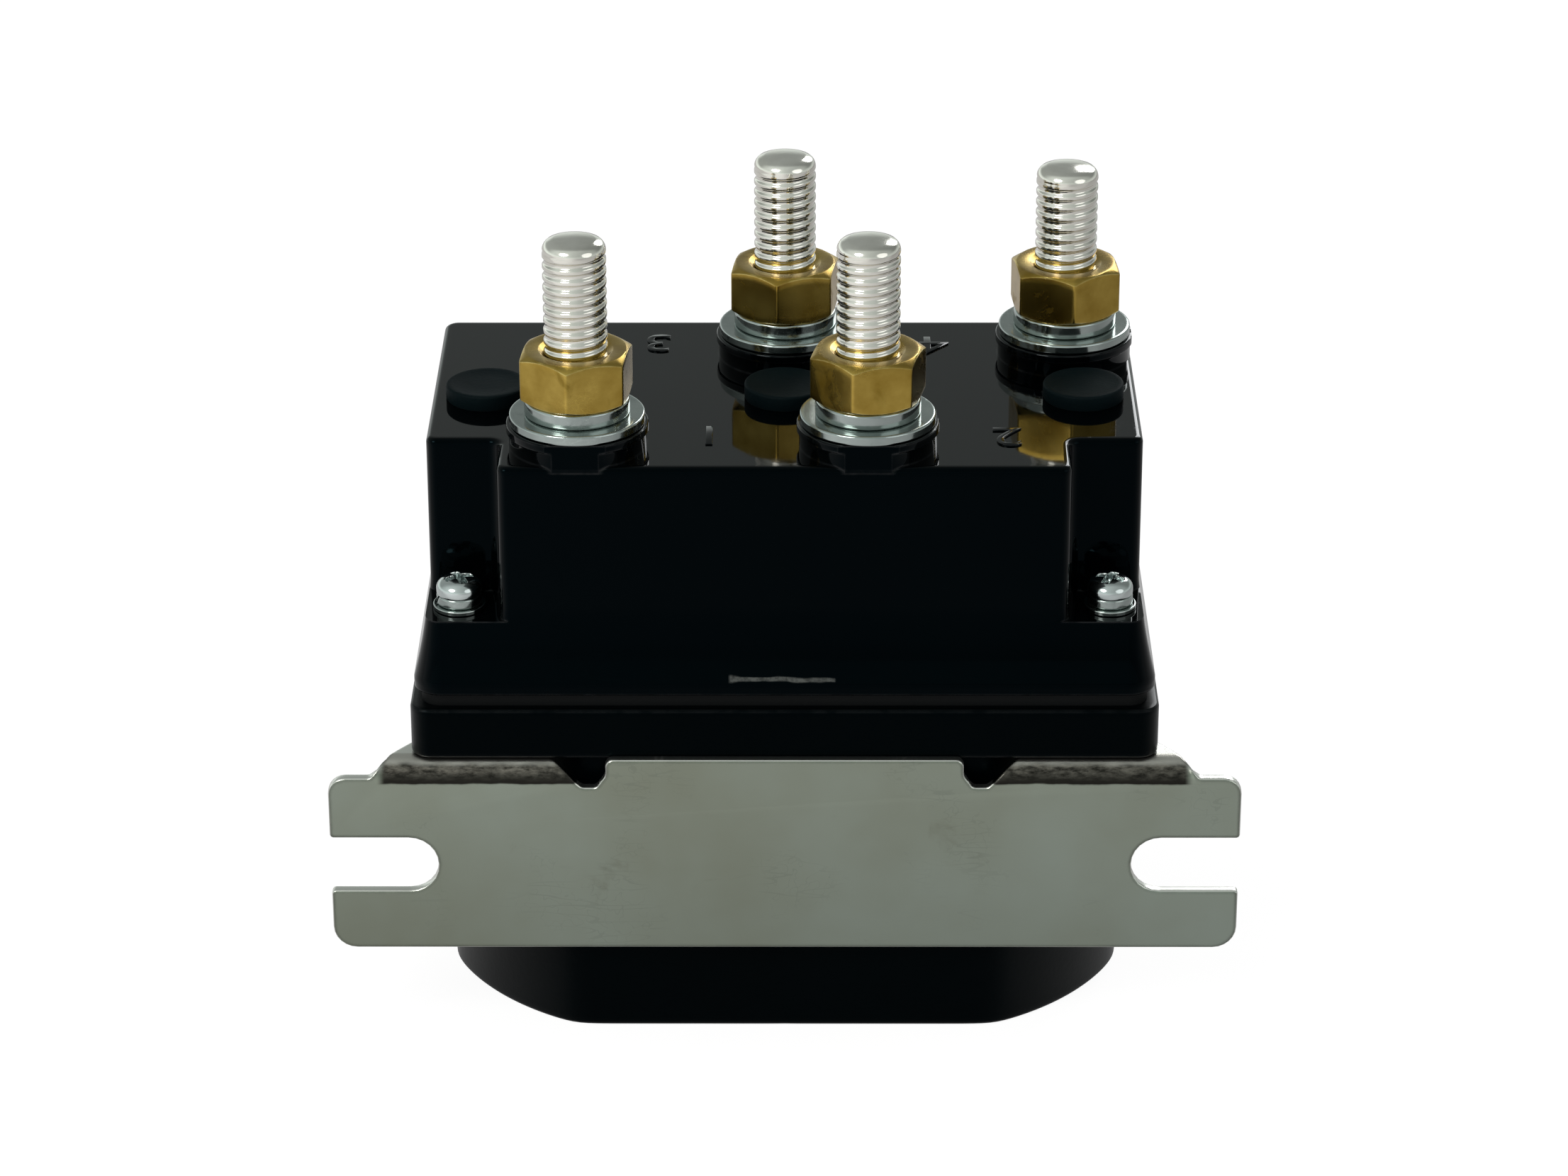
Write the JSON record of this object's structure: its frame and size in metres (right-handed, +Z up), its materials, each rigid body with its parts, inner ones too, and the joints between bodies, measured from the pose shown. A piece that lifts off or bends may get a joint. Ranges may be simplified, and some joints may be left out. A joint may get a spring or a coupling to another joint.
{
  "type": "changeover contactor",
  "caption": "Double-coil changeover contactor: moulded cover with threaded terminal studs, flanged lower body, slotted steel mounting bracket and sprung bridge contacts inside.",
  "frame": {"origin": "centre of the flat underside of the lower body", "axes": "+X to the right along the bracket, -Y out of the bracket's face, +Z up along the studs"},
  "size_m": [0.1154, 0.0637, 0.1058],
  "materials": {
    "cover_gloss": "glossy moulded black",
    "housing_satin": "satin moulded black",
    "seal_rubber": "matte",
    "bracket_zinc": "zinc plated, smudged",
    "stud_steel": "bright threaded",
    "nut_brass": "bright, yellow plated",
    "washer_zinc": "bluish zinc",
    "plug_rubber": "matte moulded",
    "screw_zinc": "bright zinc",
    "board": "pressed insulating board",
    "copper": "bare copper",
    "silver": "silver contact face",
    "blade_brass": "tinned brass",
    "magnet_iron": "plated soft iron",
    "bobbin_nylon": "natural nylon",
    "winding_enamel": "enamelled copper wire",
    "spring_steel": "spring steel"
  },
  "bodies": {
    "root": {"top_cover": "cover_gloss", "base_housing": "housing_satin", "cover_gasket": "seal_rubber", "mounting_bracket": "bracket_zinc", "insulating_plate": "board", "terminal_stud_1": "stud_steel", "terminal_stud_2": "stud_steel", "terminal_stud_3": "stud_steel", "terminal_stud_4": "stud_steel", "terminal_nut_1": "nut_brass", "terminal_nut_2": "nut_brass", "terminal_nut_3": "nut_brass", "terminal_nut_4": "nut_brass", "terminal_spring_washers": "washer_zinc", "terminal_flat_washers": "washer_zinc", "stud_seals": "seal_rubber", "screw_plug_left": "plug_rubber", "screw_plug_centre": "plug_rubber", "screw_plug_right": "plug_rubber", "case_screws": "screw_zinc", "bracket_screw_left": "screw_zinc", "bracket_screw_right": "screw_zinc", "bracket_spring_washers": "washer_zinc", "bracket_flat_washers": "washer_zinc", "motor_contact_left": "copper", "motor_contact_right": "copper", "negative_busbar": "copper", "positive_busbar": "copper", "fixed_contact_tips": "silver", "coil_terminal_blades": "blade_brass", "coil_yoke_left": "magnet_iron", "yoke_top_plate_left": "magnet_iron", "fixed_core_left": "magnet_iron", "coil_bobbin_left": "bobbin_nylon", "coil_winding_left": "winding_enamel", "return_spring_left": "spring_steel", "coil_yoke_right": "magnet_iron", "yoke_top_plate_right": "magnet_iron", "fixed_core_right": "magnet_iron", "coil_bobbin_right": "bobbin_nylon", "coil_winding_right": "winding_enamel", "return_spring_right": "spring_steel"},
    "plunger_left": {"plunger_left": "magnet_iron", "push_rod_left": "screw_zinc", "insulating_bush_left": "bobbin_nylon", "contact_spring_left": "spring_steel", "spring_retainer_left": "washer_zinc"},
    "bridge_left": {"contact_bridge_left": "copper"},
    "plunger_right": {"plunger_right": "magnet_iron", "push_rod_right": "screw_zinc", "insulating_bush_right": "bobbin_nylon", "contact_spring_right": "spring_steel", "spring_retainer_right": "washer_zinc"},
    "bridge_right": {"contact_bridge_right": "copper"}
  },
  "joints": [
    {"name": "plunger_left_pull", "type": "slide", "parent": "root", "child": "plunger_left", "axis": [0, 0, -1], "range_m": [0, 0.0038], "stiffness_N_per_m": 1200, "springref_m": -0.006, "deforming": ["return_spring_left"]},
    {"name": "bridge_left_overtravel", "type": "slide", "parent": "plunger_left", "child": "bridge_left", "axis": [0, 0, 1], "range_m": [0, 0.00083], "deforming": ["contact_spring_left"]},
    {"name": "plunger_right_pull", "type": "slide", "parent": "root", "child": "plunger_right", "axis": [0, 0, -1], "range_m": [0, 0.0038], "stiffness_N_per_m": 1200, "springref_m": -0.006, "deforming": ["return_spring_right"]},
    {"name": "bridge_right_overtravel", "type": "slide", "parent": "plunger_right", "child": "bridge_right", "axis": [0, 0, 1], "range_m": [0, 0.00083], "deforming": ["contact_spring_right"]}
  ],
  "couplings": [
    {"joint": "bridge_left_overtravel", "follows": "plunger_left_pull", "ratio": 0.218},
    {"joint": "bridge_right_overtravel", "follows": "plunger_right_pull", "ratio": 0.218}
  ]
}
